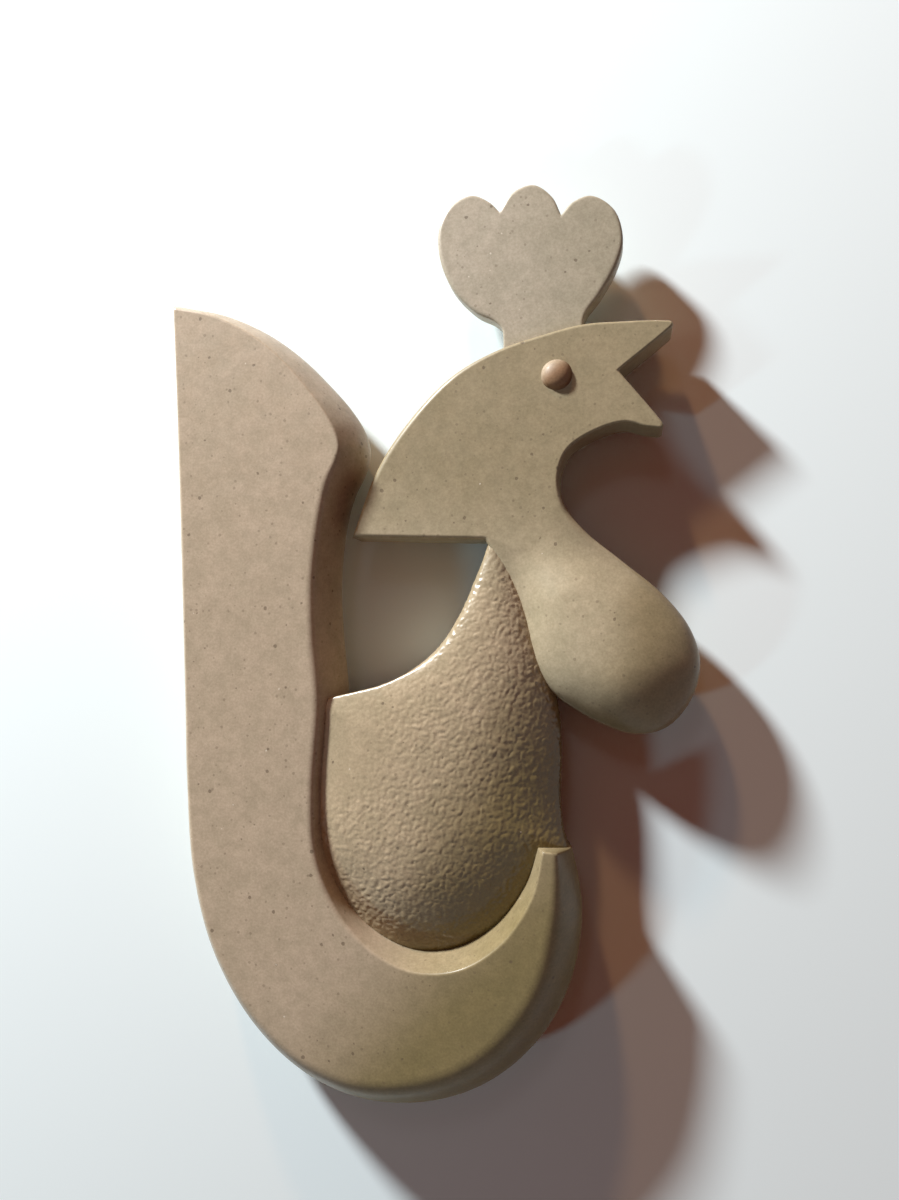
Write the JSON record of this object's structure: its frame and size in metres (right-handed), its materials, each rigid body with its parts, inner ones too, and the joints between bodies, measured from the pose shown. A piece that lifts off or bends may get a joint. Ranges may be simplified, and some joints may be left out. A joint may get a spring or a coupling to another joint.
{
  "type": "rooster figure",
  "caption": "Flat stylised rooster of speckled cast stone: hook-shaped tail and bowl, bulging grained breast, open-beaked head with drop-shaped wattle and a three-lobed comb.",
  "frame": {"origin": "under the middle of the figure's bounding box, on the surface it lies on", "axes": "+Z out of that surface, +Y from the bowl toward the comb, +X toward the beak"},
  "size_m": [0.0942, 0.1554, 0.0146],
  "materials": {
    "pale_stone": "satin polished, speckled",
    "grained_stone": "glossy crumpled grain",
    "eye_stone": "polished",
    "dowel_steel": "plain"
  },
  "bodies": {
    "root": {"tail": "pale_stone", "breast": "grained_stone", "head": "pale_stone", "comb": "pale_stone", "eye_front": "eye_stone", "eye_back": "eye_stone", "tail_dowel": "dowel_steel", "bowl_dowel": "dowel_steel", "neck_dowel": "dowel_steel", "comb_dowel": "dowel_steel"}
  },
  "joints": []
}
